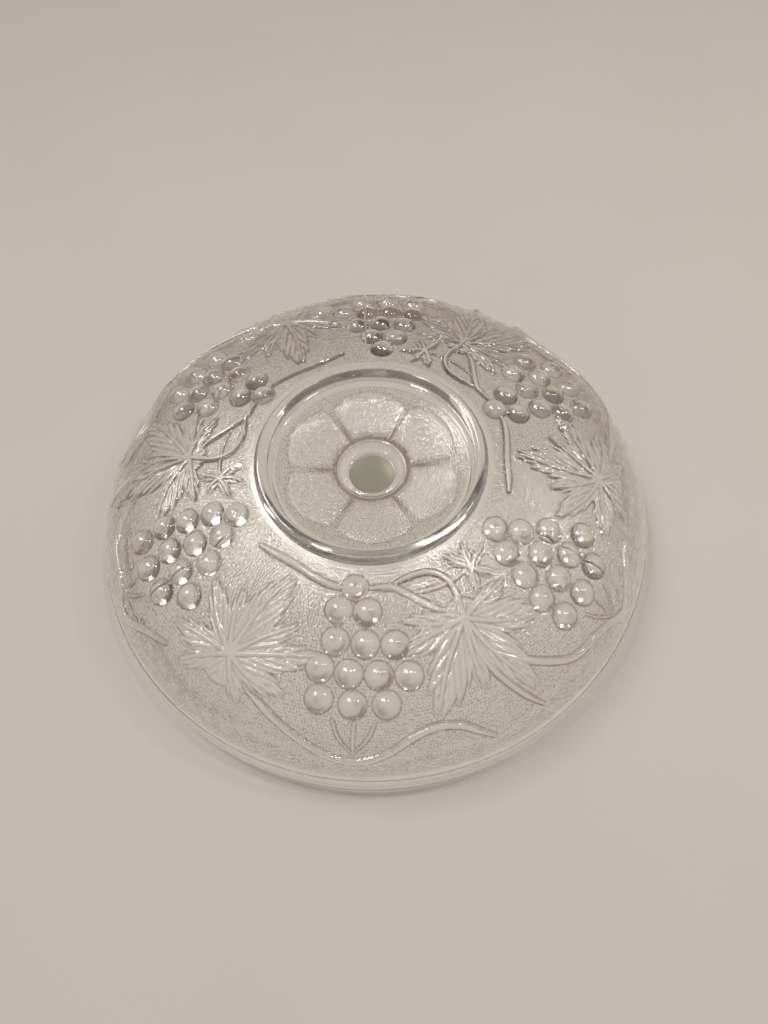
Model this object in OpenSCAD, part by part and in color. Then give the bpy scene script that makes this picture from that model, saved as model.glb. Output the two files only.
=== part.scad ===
// Pressed-glass punch bowl, standing upside down on its rim with the foot ring up.
// Z is the bowl's axis; the origin is the centre of the rim circle on the surface it rests on.
// The whole bowl is one pressing of clear glass from a mould in three parts. Each node is one zone of it,
// or one raised motif. The wall, the band and the foot ring are divided where the mould's parts meet.

/* [Rim] */
// Outer radius of the rim
rim_r = 152; // [120:1:190]
// Height of the upright part of the wall above the rim
rim_upright = 6.5; // [6:0.5:10]
// Length of the plain band, measured along the wall
band_len = 18.5; // [14:0.5:24]
// How far the plain band stands out from the patterned wall
band_proud = 0.4; // [0.2:0.1:0.8]
// Radius of the rounded lip
lip_r = 3.2; // [2.8:0.1:3.2]
// Depth that is polished off the lip where it stands
lip_cut = 0.15; // [0.1:0.05:0.3]

/* [Wall] */
// Glass thickness of the wall
wall_t = 5; // [4.5:0.5:6]
// Radius of the tight curve next to the rim
shoulder_r = 42; // [36:1:48]
// Angle that the tight curve turns through
shoulder_turn = 67; // [62:0.5:70]
// Radius of the slow curve between shoulder and foot
slope_r = 250; // [220:5:300]

/* [Foot] */
// Outer radius of the foot ring
foot_r = 60; // [56:0.5:64]
// Height of the land on top of the foot ring
foot_z = 66; // [65:0.5:68]
// Radius of the ring's rounded bead
bead_r = 3.35; // [3:0.05:3.8]
// Depth that is polished off the bead to make the flat land
land_cut = 0.2; // [0.1:0.05:0.4]

/* [Base] */
// Radius of the floor inside the foot ring
floor_r = 52; // [50:0.5:52]
// Height of the floor at its edge
floor_z = 58; // [57:0.5:59]
// Drop of the floor from its edge to the flower's centre
floor_drop = 6; // [4:0.5:7]
// Radius of the round hollow at the flower's centre
pit_r = 17.5; // [16:0.5:19]
// Depth of the hollow
pit_depth = 4.5; // [3:0.5:5]
// Glass thickness of the base
base_t = 6; // [5:0.5:7]
// How far the six petals stand up
petal_h = 1.6; // [1:0.1:2.2]
// How far a leaf-shaped petal reaches outwards
petal_tip_r = 47; // [42:1:48]

/* [Grapes] */
// Height of a grape above the wall
grape_h = 4; // [3:0.25:4.5]
// Radius of a grape where it meets the wall
grape_r = 6.2; // [5.4:0.1:6.2]

/* [Leaves and vines] */
// Height of a leaf above the wall
leaf_h = 1.1; // [0.8:0.1:1.6]
// Half width of the thick stems and vines
vine_w = 1.7; // [1.2:0.1:2]
// Height of the thick stems and vines
vine_h = 1.6; // [1:0.1:2]

/* [Hidden] */
$fn = 96;
eps = 0.01;
PANELS = 3;                 // the pattern repeats in each third of the wall
PANEL_TURN = 360 / PANELS;
FIRST_PANEL = 210;          // direction in which the first third begins

// Wall curve: a centre and a radius for each arc, and lengths along the wall from the foot ring outwards
shoulder_c = [rim_r - shoulder_r, rim_upright];
join = shoulder_c + shoulder_r * [cos(shoulder_turn), sin(shoulder_turn)];
slope_c = join - slope_r * [cos(shoulder_turn), sin(shoulder_turn)];
slope_turn = acos((foot_r - slope_c[0]) / slope_r);
slope_len = slope_r * (slope_turn - shoulder_turn) * PI / 180;
shoulder_len = shoulder_r * shoulder_turn * PI / 180;
wall_len = slope_len + shoulder_len + rim_upright;
band_from = wall_len - band_len;
foot_wall_z = slope_c[1] + slope_r * sin(slope_turn);

// Foot ring and base
bead_c = [foot_r - bead_r, foot_z + land_cut - bead_r];
pit_floor_r = pit_r - 3;     // the hollow narrows by 3 mm to its flat bottom
pit_z = floor_z - floor_drop - pit_depth;
grape_ball = (grape_r * grape_r + grape_h * grape_h) / (2 * grape_h);

// Motifs of one third of the wall: [angle, distance along the wall from the foot ring]
BUNCH_A = [[52, 12.5], [47.5, 23.5], [56.7, 23.5], [48, 37.8], [56.2, 38], [64.2, 39], [45.3, 50.5],
    [52.4, 51.5], [59.5, 52], [66.6, 53.5], [46.4, 64], [53.7, 65], [60.9, 65]];
BUNCH_B = [[113, 14], [108.2, 25], [117.4, 25], [106.5, 38.5], [114.6, 38.5], [122.6, 37], [105, 51.5],
    [112.2, 52], [119.3, 51], [126.3, 54], [106, 65], [113.2, 65.5], [120.4, 64.5]];
STEM_IN = [[10.5, 11.8], [15, 10.8], [20, 9.9], [25, 9.4], [30, 9.8], [35, 10.8], [40, 12], [46, 13.2]];
STEM_OUT = [[57.6, 12.3], [62, 12], [66, 12.8], [69, 15.4], [72, 18.8], [75, 22.8], [78, 27], [81, 30.5]];
LOOP = [[67, 11], [71, 9.6], [75, 9], [79.5, 9.6], [83, 12], [85.2, 16], [86, 21], [85.6, 27], [84.8, 34],
    [84.3, 41], [83.9, 49], [84.2, 57], [85.6, 66], [87.5, 75], [89.5, 83], [91.5, 90]];
BUD_STEM = [[73, 17], [77, 17.8], [82, 18.2], [87, 18.2], [92, 17.9], [96, 17], [100, 15.2], [104.5, 13.6]];
VINE_LOW = [[31, 70.5], [34, 73], [38, 77.5], [43, 83], [48, 88.5], [52, 91.5], [56, 91.5], [60, 88],
    [64, 82.5], [67.5, 79], [71, 78], [75, 80.5], [78, 86], [80.5, 91.5]];
VINE_HIGH = [[87, 55], [89.8, 61.5], [93, 68], [97, 75], [100.5, 80.5], [104, 82.8], [108, 83.5],
    [112, 86.5], [115, 90.5], [118, 91.5], [121, 88], [125, 82], [130, 77.5]];
FORKS = [[[49.8, 72.5], [51.2, 80], [54, 87.5]], [[54.2, 73], [54, 80], [54, 87.5]],
    [[58.4, 72.5], [56.8, 80], [54, 87.5]], [[110, 73.5], [111.4, 79], [114, 85.5]],
    [[113.8, 74], [114, 79], [114, 85.5]], [[118, 73.5], [116.6, 79], [114, 85.5]]];

CORD_SECTION = [[-1, 0], [-0.75, 0.65], [0, 1], [0.75, 0.65], [1, 0]];   // across a cord, in half widths
CORD_END = 0.45;            // width and height of a cord's ends, as a share of the cord's own

LOBE_CUT = 0.62;            // how far the outline falls back between two lobes, as a share of the lobe
LOBE_BEND = 0.8;            // below 1 makes a lobe's tip sharp
LEAF_CORE = 0.34;           // radius of the leaf without its lobes, as a share of the first lobe
LEAF_EDGE = 0.5;            // thickness at a leaf's edge, as a share of its height
LEAF_STEP = 7.5;            // angle between two points of a leaf's outline

PETAL_HALF = 6.44;          // half width of a petal at its middle, in mm
PETAL_FLARE = 0.22;         // gain of half width for each mm outwards
PETAL_EDGE = 0.15;          // thickness at a petal's edge, as a share of its height
PETAL_GAP = 1;              // space between a petal and the hollow

// Leaves: centre, then one [length, direction, half angle] for each lobe; direction 90 points to the rim
LEAF_TALL = [[24, 60], [[46, -82, 26], [37, -24, 20], [31, 8, 18], [25, 40, 18], [33, -142, 22],
    [35, 168, 20], [24, 128, 18]]];
LEAF_BROAD = [[84.4, 36], [[24, -165, 20], [33, 163, 22], [50, 128, 22], [46, 66, 24], [34, 27, 20],
    [23, -12, 18], [13, -80, 24]]];
LEAF_BUD = [[95, 18], [[13, -120, 26], [12, -72, 24], [12, -20, 24], [11, 50, 26], [12, 112, 26]]];

// Radius and height [r, z] of the wall's outside at distance d from the foot ring, raised by h
function arc_angle(d) = d < slope_len ? slope_turn - d / slope_r * 180 / PI
    : max(0, shoulder_turn - (d - slope_len) / shoulder_r * 180 / PI);
function wall_rz(d, h = 0) = d < slope_len
    ? slope_c + (slope_r + h) * [cos(arc_angle(d)), sin(arc_angle(d))]
    : shoulder_c + (shoulder_r + h) * [cos(arc_angle(d)), sin(arc_angle(d))];
function wall_point(u, d, h) = let(p = wall_rz(d, h)) [p[0] * cos(u), p[0] * sin(u), p[1]];

// Height of the base floor's outside at radius r
function floor_height(r) = floor_z - floor_drop * (1 - pow(r / floor_r, 2)) / (1 - pow(pit_r / floor_r, 2));
function floor_point(u, r, h) = [r * cos(u), r * sin(u), floor_height(r) + h];

// A smooth curve through hand-placed points
function catmull(a, b, c, e, t) = 0.5 * (2 * b + (c - a) * t + (2 * a - 5 * b + 4 * c - e) * t * t
    + (3 * b - a - 3 * c + e) * t * t * t);
function smooth(p, steps = 3) = let(n = len(p)) concat(
    [for (i = [0:n - 2], k = [0:steps - 1])
        catmull(p[max(i - 1, 0)], p[i], p[i + 1], p[min(i + 2, n - 1)], k / steps)], [p[n - 1]]);

// A point beside [angle, distance], moved by x along the ring direction and y towards the rim, in mm
function beside(c, x, y) = [c[0] + x / wall_rz(c[1] + y)[0] * 180 / PI, c[1] + y];

// Reach of a lobed leaf in direction a
function turn_gap(a, b) = abs(((a - b) % 360 + 540) % 360 - 180);
function lobe_reach(lobe, a) = let(g = turn_gap(a, lobe[1]) / lobe[2])
    g > 1 ? 0 : lobe[0] * (1 - LOBE_CUT * pow(g, LOBE_BEND));
function leaf_reach(lobes, a) = max([for (l = lobes) max(lobe_reach(l, a), LEAF_CORE * lobes[0][0])]);

// Low rounded cord lying on the wall along a list of [angle, distance] points
module wall_cord(points, w, h) {
    path = smooth(points);
    n = len(path);
    m = len(CORD_SECTION);
    pts = [for (i = [0:n - 1])
        let(a = path[max(i - 1, 0)], b = path[min(i + 1, n - 1)],
            along = [(b[0] - a[0]) * wall_rz(path[i][1])[0] * PI / 180, b[1] - a[1]],
            side = [-along[1], along[0]] / norm(along),
            taper = i == 0 || i == n - 1 ? CORD_END : 1)
        for (s = CORD_SECTION)
            let(q = beside(path[i], side[0] * s[0] * w * taper, side[1] * s[0] * w * taper))
            wall_point(q[0], q[1], s[1] * h * taper)];
    faces = concat([[for (j = [0:m - 1]) j]], [[for (j = [m - 1:-1:0]) (n - 1) * m + j]],
        [for (i = [0:n - 2], j = [0:m - 1]) let(k = (j + 1) % m)
            each [[i * m + j, (i + 1) * m + j, (i + 1) * m + k], [i * m + j, (i + 1) * m + k, i * m + k]]]);
    polyhedron(pts, faces);
}

// Thin plate with a domed top: rings of points from the centre out to the rim of the plate.
// top and bottom are lists of rings, and each ring has the same number of points.
module ring_plate(top_c, top, bottom_c, bottom) {
    k = len(top);
    n = len(top[0]);
    pts = concat([top_c, bottom_c], [for (r = top) each r], [for (r = bottom) each r]);
    t0 = 2;
    b0 = 2 + k * n;
    faces = concat(
        [for (j = [0:n - 1]) let(e = (j + 1) % n) each [[0, t0 + e, t0 + j], [1, b0 + j, b0 + e]]],
        [for (i = [0:k - 2], j = [0:n - 1]) let(e = (j + 1) % n, q = i * n) each [
            [t0 + q + j, t0 + q + e, t0 + q + n + e], [t0 + q + j, t0 + q + n + e, t0 + q + n + j],
            [b0 + q + j, b0 + q + n + e, b0 + q + e], [b0 + q + j, b0 + q + n + j, b0 + q + n + e]]],
        [for (j = [0:n - 1]) let(e = (j + 1) % n, q = (k - 1) * n) each [
            [t0 + q + j, t0 + q + e, b0 + q + e], [t0 + q + j, b0 + q + e, b0 + q + j]]]);
    polyhedron(pts, [for (f = faces) [f[2], f[1], f[0]]]);
}

module leaf(shape, h = leaf_h) {
    c = shape[0];
    turns = [for (a = [0:LEAF_STEP:359]) a];
    rings = [0.35, 0.7, 1];
    function top(s) = h * (1 - (1 - LEAF_EDGE) * s * s);
    function at(a, s, z) = let(r = leaf_reach(shape[1], a) * s, q = beside(c, r * cos(a), r * sin(a)))
        wall_point(q[0], q[1], z);
    ring_plate(wall_point(c[0], c[1], h), [for (s = rings) [for (a = turns) at(a, s, top(s))]],
        wall_point(c[0], c[1], 0), [for (s = rings) [for (a = turns) at(a, s, 0)]]);
}

module petal(u) {
    mid = (pit_r + petal_tip_r) / 2;
    long = (petal_tip_r - pit_r) / 2 - PETAL_GAP;
    turns = [for (a = [0:10:359]) a];
    rings = [0.4, 0.75, 1];
    function top(s) = petal_h * (1 - (1 - PETAL_EDGE) * s * s);
    function at(a, s, z) = let(x = mid + long * s * cos(a), y = s * (PETAL_HALF + PETAL_FLARE * x) * sin(a))
        floor_point(u + atan2(y, x), norm([x, y]), z);
    ring_plate(floor_point(u, mid, petal_h), [for (s = rings) [for (a = turns) at(a, s, top(s))]],
        floor_point(u, mid, 0), [for (s = rings) [for (a = turns) at(a, s, 0)]]);
}

// The wall in section between two distances from the foot ring, as thick as from h_in to h_out.
// Both sides follow the wall's two arcs.
module wall_section(d0, d1, h_in, h_out, n = 48) {
    steps = [for (i = [0:n]) d0 + (d1 - d0) * i / n];
    polygon(concat([for (d = steps) wall_rz(d, h_out)], [for (i = [n:-1:0]) wall_rz(steps[i], h_in)]));
}

module panel_turn(k) { rotate(FIRST_PANEL + PANEL_TURN * k) children(); }

// One third of a turned zone, drawn as its section
module turned_third(k) { panel_turn(k) rotate_extrude(angle = PANEL_TURN, $fn = 180) children(); }

module bowl_wall(k) {
    color([0.86, 0.88, 0.85, 0.5]) turned_third(k) wall_section(0, band_from, -wall_t, 0);
}

// Points on a circle about c from angle a0 to a1
function arc(c, r, a0, a1, n = 12) = [for (i = [0:n])
    let(a = a0 + (a1 - a0) * i / n) c + r * [cos(a), sin(a)]];

module rim_band(k) {
    lip_c = [rim_r + band_proud - lip_r, lip_r - lip_cut];
    flat = asin(lip_c[1] / lip_r);
    inner = acos(min(1, (band_proud + wall_t - lip_r) / lip_r));
    steps = [for (i = [0:24]) band_from + (slope_len + shoulder_len - band_from) * i / 24];
    color([0.93, 0.94, 0.92, 0.5]) turned_third(k)
        polygon(concat([for (d = steps) wall_rz(d, band_proud)], arc(lip_c, lip_r, 0, -flat),
            arc(lip_c, lip_r, flat - 180, -180 - inner), [for (i = [24:-1:0]) wall_rz(steps[i], -wall_t)]));
}

module foot_ring(k) {
    flat = asin((foot_z - bead_c[1]) / bead_r);
    outer = max(0, asin((foot_wall_z - bead_c[1]) / bead_r));
    color([0.80, 0.83, 0.78, 0.5]) turned_third(k)
        polygon(concat([[floor_r, floor_z]], arc(bead_c, bead_r, 180, 180 - flat),
            arc(bead_c, bead_r, flat, outer),
            [[foot_r, foot_wall_z], wall_rz(0, -wall_t), [floor_r, floor_z - base_t]]));
}

module base_floor() {
    radii = [for (r = [pit_r:(floor_r - pit_r) / 10:floor_r + eps]) r];
    n = len(radii) - 1;
    color([0.84, 0.86, 0.82, 0.5]) rotate_extrude($fn = 180)
        polygon(concat([for (r = radii) [r, floor_height(r)]],
            [for (i = [n:-1:0]) [radii[i], floor_height(radii[i]) - base_t]]));
}

module base_petals() {
    color([0.90, 0.90, 0.88, 0.5]) for (k = [0:5]) petal(30 + 60 * k);
}

module base_hollow() {
    top = floor_z - floor_drop;
    color([0.66, 0.68, 0.60, 0.6]) rotate_extrude($fn = 120)
        polygon([[0, pit_z], [pit_floor_r, pit_z], [pit_r, top], [pit_r, top - base_t],
            [0, top - base_t - pit_depth / 2]]);
}

// One bunch: every grape is a ball cut off by the wall's own surface
module grape_bunch(grapes, panel) {
    color([0.95, 0.96, 0.94, 0.6]) panel_turn(panel)
        for (g = grapes) difference() {
            translate(wall_point(g[0], g[1], grape_h - grape_ball)) sphere(grape_ball, $fn = 48);
            rotate_extrude($fn = 180) wall_section(0, band_from, -2 * grape_ball, 0, 32);
        }
}

module tall_leaf(k) { color([0.88, 0.89, 0.86, 0.6]) panel_turn(k) leaf(LEAF_TALL); }
module broad_leaf(k) { color([0.88, 0.89, 0.86, 0.6]) panel_turn(k) leaf(LEAF_BROAD); }
module bud_leaf(k) { color([0.88, 0.89, 0.86, 0.6]) panel_turn(k) leaf(LEAF_BUD, leaf_h * 0.9); }
module bunch_stem(k) {
    color([0.82, 0.80, 0.76, 0.6]) panel_turn(k) {
        wall_cord(STEM_IN, vine_w, vine_h);
        wall_cord(STEM_OUT, vine_w, vine_h);
    }
}
module loop_stem(k) {
    color([0.82, 0.80, 0.76, 0.6]) panel_turn(k) {
        wall_cord(LOOP, vine_w * 0.8, vine_h);
        wall_cord(BUD_STEM, vine_w * 0.5, vine_h * 0.6);
    }
}
module rim_vine(k) {
    color([0.80, 0.78, 0.74, 0.6]) panel_turn(k) {
        wall_cord(VINE_LOW, vine_w, vine_h);
        wall_cord(VINE_HIGH, vine_w * 1.15, vine_h);
    }
}
module bunch_stalks() {
    color([0.82, 0.80, 0.76, 0.6]) for (k = [0:PANELS - 1]) panel_turn(k)
        for (f = FORKS) wall_cord(f, vine_w * 0.45, vine_h * 0.6);
}

bowl_wall(0);  // bowl_wall_1
bowl_wall(1);  // bowl_wall_2
bowl_wall(2);  // bowl_wall_3
rim_band(0);  // rim_band_1
rim_band(1);  // rim_band_2
rim_band(2);  // rim_band_3
foot_ring(0);  // foot_ring_1
foot_ring(1);  // foot_ring_2
foot_ring(2);  // foot_ring_3
base_floor();
base_petals();
base_hollow();
grape_bunch(BUNCH_A, 0);  // grape_bunch_1
grape_bunch(BUNCH_B, 0);  // grape_bunch_2
grape_bunch(BUNCH_A, 1);  // grape_bunch_3
grape_bunch(BUNCH_B, 1);  // grape_bunch_4
grape_bunch(BUNCH_A, 2);  // grape_bunch_5
grape_bunch(BUNCH_B, 2);  // grape_bunch_6
tall_leaf(0);  // tall_leaf_1
tall_leaf(1);  // tall_leaf_2
tall_leaf(2);  // tall_leaf_3
broad_leaf(0);  // broad_leaf_1
broad_leaf(1);  // broad_leaf_2
broad_leaf(2);  // broad_leaf_3
bud_leaf(0);  // bud_leaf_1
bud_leaf(1);  // bud_leaf_2
bud_leaf(2);  // bud_leaf_3
bunch_stem(0);  // bunch_stem_1
bunch_stem(1);  // bunch_stem_2
bunch_stem(2);  // bunch_stem_3
loop_stem(0);  // loop_stem_1
loop_stem(1);  // loop_stem_2
loop_stem(2);  // loop_stem_3
rim_vine(0);  // rim_vine_1
rim_vine(1);  // rim_vine_2
rim_vine(2);  // rim_vine_3
bunch_stalks();
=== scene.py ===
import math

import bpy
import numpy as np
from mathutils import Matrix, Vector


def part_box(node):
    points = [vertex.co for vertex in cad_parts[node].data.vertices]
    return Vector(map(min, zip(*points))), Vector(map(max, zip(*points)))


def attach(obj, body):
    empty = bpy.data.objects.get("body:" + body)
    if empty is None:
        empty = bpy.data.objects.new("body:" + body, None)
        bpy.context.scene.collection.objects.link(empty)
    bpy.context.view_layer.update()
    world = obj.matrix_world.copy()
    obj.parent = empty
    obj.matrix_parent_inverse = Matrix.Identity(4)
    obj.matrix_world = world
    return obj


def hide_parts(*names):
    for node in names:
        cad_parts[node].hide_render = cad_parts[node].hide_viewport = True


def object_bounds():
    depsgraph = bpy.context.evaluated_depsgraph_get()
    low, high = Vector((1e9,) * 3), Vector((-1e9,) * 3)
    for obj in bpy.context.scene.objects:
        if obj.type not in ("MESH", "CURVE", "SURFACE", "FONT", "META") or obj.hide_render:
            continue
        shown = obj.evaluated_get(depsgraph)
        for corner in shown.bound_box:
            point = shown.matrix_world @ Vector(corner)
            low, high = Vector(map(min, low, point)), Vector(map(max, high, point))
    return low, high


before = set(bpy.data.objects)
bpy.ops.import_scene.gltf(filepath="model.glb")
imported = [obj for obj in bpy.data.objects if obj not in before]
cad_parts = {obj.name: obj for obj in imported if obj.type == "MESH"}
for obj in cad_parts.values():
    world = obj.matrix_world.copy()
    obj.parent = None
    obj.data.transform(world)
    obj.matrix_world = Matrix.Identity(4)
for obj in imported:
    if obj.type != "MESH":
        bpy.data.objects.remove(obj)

# A clear pressed-glass punch bowl that stands upside down on its rim.
# The bowl is one body of glass. Its pieces share every point along the faces where they meet, and those
# faces have a material that lets light straight through, so the pieces look fused, as they really are.
# Lengths are in millimetres until a mesh is made. Distances d run along the wall from the foot ring outwards.

MM = 0.001
CAD_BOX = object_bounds()


def node_box(name):
    """Lowest and highest corner of a CAD node in millimetres."""
    lo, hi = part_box(name)
    return np.array(lo) / MM, np.array(hi) / MM


# ---------------------------------------------------------------- sizes, as in the CAD part unless said
BAND_PROUD = 0.4             # how far the rim band stands out from the wall
WALL_T = 5.0
BASE_T = 6.0
LIP_R = 3.2
LIP_CUT = 0.15               # depth of the polished flat that the rim stands on
BEAD_R = 3.35                # the foot ring is round, with this radius
LAND_CUT = 0.2               # depth of the polished flat on the foot ring
SHOULDER_R = 42.0
SHOULDER_TURN = math.radians(67)
SLOPE_R = 250.0
RIM_UPRIGHT = 6.5
BAND_LEN = 18.5
RIM_R = node_box("rim_band_2")[1][0] - BAND_PROUD
FOOT_R = node_box("foot_ring_2")[1][0]
FOOT_Z = node_box("foot_ring_2")[1][2]
FLOOR_R = node_box("base_floor")[1][0]
FLOOR_Z = node_box("base_floor")[1][2]
PIT_R = node_box("base_hollow")[1][0]
PIT_TOP = node_box("base_hollow")[1][2]
PIT_BOTTOM_R = PIT_R - 4.8   # the hollow's slope is wider than in CAD
PIT_DEPTH = 4.5
PETAL_TIP_R = 47.0

SHOULDER_C = np.array([RIM_R - SHOULDER_R, RIM_UPRIGHT])
TURN_DIR = np.array([math.cos(SHOULDER_TURN), math.sin(SHOULDER_TURN)])
SLOPE_C = SHOULDER_C + SHOULDER_R * TURN_DIR - SLOPE_R * TURN_DIR
SLOPE_TURN = math.acos((FOOT_R - SLOPE_C[0]) / SLOPE_R)
SLOPE_LEN = SLOPE_R * (SLOPE_TURN - SHOULDER_TURN)
SHOULDER_LEN = SHOULDER_R * SHOULDER_TURN
BAND_FROM = SLOPE_LEN + SHOULDER_LEN + RIM_UPRIGHT - BAND_LEN

# ---------------------------------------------------------------- the mesh grids
THIRDS = 3
FIRST_DEG = 210.0            # direction in which the first third of the pattern begins
THIRD_COLS = 600             # grid columns in one third of the patterned wall
COLS = THIRDS * THIRD_COLS
HALF_COLS = COLS // 2        # columns of everything that is smooth
WALL_ROWS = 212
SEAM_ROW = WALL_ROWS // 2    # the wall's pieces are cut here too
FLOOR_ROWS = 69
INNER_ROWS = 26              # rows of the smooth inside, for each half of the wall

# ---------------------------------------------------------------- the motifs of one third
# Points are [angle in degrees, distance along the wall].
BUNCHES = {
    "odd": [[52, 12.5], [47.5, 23.5], [56.7, 23.5], [48, 37.8], [56.2, 38], [64.2, 39], [45.3, 50.5],
            [52.4, 51.5], [59.5, 52], [66.6, 53.5], [46.4, 64], [53.7, 65], [60.9, 65]],
    "even": [[113, 14], [108.2, 25], [117.4, 25], [106.5, 38.5], [114.6, 38.5], [122.6, 37], [105, 51.5],
             [112.2, 52], [119.3, 51], [126.3, 54], [106, 65], [113.2, 65.5], [120.4, 64.5]],
}
STEM_IN = [[10.5, 11.8], [15, 10.8], [20, 9.9], [25, 9.4], [30, 9.8], [35, 10.8], [40, 12], [44.5, 12.8],
           [48.5, 12.9]]
STEM_OUT = [[57.6, 12.3], [62, 12], [66, 12.8], [69, 15.4], [72, 18.8], [75, 22.8], [78, 27], [81, 30.5]]
LOOP = [[67, 11], [71, 9.6], [75, 9], [79.5, 9.6], [83, 12], [85.2, 16], [86, 21], [85.6, 27], [84.8, 34],
        [84.3, 41], [83.9, 49], [84.2, 57], [85.6, 66], [87.5, 75], [89.5, 83], [91.5, 90]]
BUD_STEM = [[73, 17], [77, 17.8], [82, 18.2], [87, 18.2], [92, 17.9], [96, 17], [100, 15.2], [104.5, 13.6]]
VINE_LOW = [[31, 70.5], [34, 73], [38, 77.5], [43, 83], [48, 88.5], [52, 91.5], [56, 91.5], [60, 88],
            [64, 82.5], [67.5, 79], [71, 78], [75, 80.5], [78, 86], [80.5, 91.5]]
VINE_HIGH = [[87, 55], [89.8, 61.5], [93, 68], [97, 75], [100.5, 80.5], [104, 82.8], [108, 83.5],
             [112, 86.5], [115, 90.5], [118, 91.5], [121, 88], [125, 82], [130, 77.5]]
FORKS = [[[49.8, 72.5], [51.2, 80], [54, 87.5]], [[54.2, 73], [54, 80], [54, 87.5]],
         [[58.4, 72.5], [56.8, 80], [54, 87.5]], [[110, 73.5], [111.4, 79], [114, 85.5]],
         [[113.8, 74], [114, 79], [114, 85.5]], [[118, 73.5], [116.6, 79], [114, 85.5]]]
# Leaves: centre, then [length, direction, half angle] of each lobe; direction 90 points to the rim.
LEAF_TALL = [[24, 60], [[47, -82, 24], [34, -50, 20], [42, -21, 22], [33, 12, 22], [23, 52, 26],
                        [31, -112, 20], [36, -142, 22], [35, 170, 22], [29, 140, 22]]]
LEAF_BROAD = [[84.4, 36], [[29, -165, 20], [34, 168, 22], [49, 129, 24], [34, 98, 22], [48, 68, 22],
                           [40, 27, 24], [28, -8, 22], [14, -80, 24]]]
LEAF_BUD = [[95, 18], [[14, -120, 28], [13, -72, 26], [13, -20, 26], [12, 50, 28], [13, 112, 28]]]

GRAPE_R = 6.5
GRAPE_H = 4.3
STEM_W = 1.7                 # half of a stem's width
STEM_H = 1.7
BLADE_H = 1.4                # height of a leaf's blade
RIB_H = 0.30                 # fine ribs across the blade
RIB_PITCH = 3.2
BLADE_EDGE = 0.7             # distance over which the blade rises
VEIN_W = 0.85                # half of a main vein's width at the leaf's centre
VEIN_H = 1.0
SIDE_VEINS = ((0.36, 0.25), (0.56, 0.20), (0.74, 0.12))   # where on a lobe, and reach, for a length of 1
STIPPLE_PITCH = 1.45         # from one pebble to the next
STIPPLE_H = 0.42
DIMPLE_H = 0.40              # wide soft dimples between the pattern and the rim band
DIMPLE_MM = 11.0
THREAD_H = 0.35              # thin raised line round the rim band
PETAL_H = 1.9                # how far the petals puff up
PETAL_STIPPLE_H = 0.42

# Painted shade: how dark parts of the relief are coloured, from 0 to 1, in place of the light that real glass
# bends away there.
STIPPLE_SHADE = 0.60         # valleys between pebbles
GRAPE_ARC_SHADE = 1.0              # the painted dark arc inside a grape
GRAPE_SPOT_SHADE = 0.45            # and the painted dark spot near its middle
LIP_SHADE = 0.15             # the rim's lip
CREASE_SHADE = 0.5           # creases, for a bend of 1 / mm
OUTLINE_SHADE = 0.2          # the foot line round a motif
SIDE_SHADE = 0.65            # sides that turn to the rim, for a slope of 1
FAR = 9.0                    # distances beyond this don't matter


# ---------------------------------------------------------------- curves of the wall and the base
def wall_rz(d, h=0.0):
    """Radius and height of the wall's outside at distance d, raised by h."""
    d = np.asarray(d, float)
    slope = d < SLOPE_LEN
    shoulder_turn = np.maximum(0, SHOULDER_TURN - (d - SLOPE_LEN) / SHOULDER_R)
    turn = np.where(slope, SLOPE_TURN - d / SLOPE_R, shoulder_turn)
    centre = np.where(slope[..., None], SLOPE_C, SHOULDER_C)
    reach = np.where(slope, SLOPE_R, SHOULDER_R) + h
    return centre[..., 0] + reach * np.cos(turn), centre[..., 1] + reach * np.sin(turn)


def floor_z(r):
    """Height of the base floor's outside at radius r: a shallow dish."""
    return FLOOR_Z - (FLOOR_Z - PIT_TOP) * (1 - (r / FLOOR_R) ** 2) / (1 - (PIT_R / FLOOR_R) ** 2)


def smoothstep(t):
    """0 for t below 0, 1 for t above 1, and a soft step between."""
    t = np.clip(t, 0, 1)
    return t * t * (3 - 2 * t)


def curve_through(points, steps=4):
    """Catmull-Rom curve through given points."""
    p = np.array(points, float)
    q = np.vstack([2 * p[0] - p[1], p, 2 * p[-1] - p[-2]])
    t = np.linspace(0, 1, steps, endpoint=False)[:, None]
    made = []
    for a, b, c, e in zip(q[:-3], q[1:-2], q[2:-1], q[3:]):
        made.append(0.5 * (2 * b + (c - a) * t + (2 * a - 5 * b + 4 * c - e) * t ** 2
                           + (3 * b - a - 3 * c + e) * t ** 3))
    return np.vstack([*made, p[-1:]])


# ---------------------------------------------------------------- fields over one third of the wall
U, D = np.meshgrid(np.arange(THIRD_COLS) * (360 / COLS), np.linspace(0, BAND_FROM, WALL_ROWS + 1))
R_OUT = wall_rz(D)[0]
DEG_MM = R_OUT * math.pi / 180        # millimetres to one degree, at each grid point


def line_distance(path, shift, width=None):
    """Distance from each grid point to a line on the wall, less the half width that the line has there."""
    out = np.full(U.shape, FAR)
    u, d = U + shift, D
    width = np.zeros(len(path)) if width is None else width
    for (a, b), (wa, wb) in zip(zip(path[:-1], path[1:]), zip(width[:-1], width[1:])):
        rows = slice(*np.searchsorted(D[:, 0], [min(a[1], b[1]) - FAR, max(a[1], b[1]) + FAR]))
        pad = FAR / DEG_MM[rows.start, 0]
        cols = slice(*np.searchsorted(u[0], [min(a[0], b[0]) - pad, max(a[0], b[0]) + pad]))
        if rows.start >= rows.stop or cols.start >= cols.stop:
            continue
        k = DEG_MM[rows, cols]
        ax, ay = (a[0] - u[rows, cols]) * k, a[1] - d[rows, cols]
        bx, by = (b[0] - u[rows, cols]) * k, b[1] - d[rows, cols]
        ex, ey = bx - ax, by - ay
        t = np.clip(-(ax * ex + ay * ey) / np.maximum(ex * ex + ey * ey, 1e-9), 0, 1)
        gap = np.hypot(ax + t * ex, ay + t * ey) - (wa + t * (wb - wa))
        out[rows, cols] = np.minimum(out[rows, cols], gap)
    return out


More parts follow.
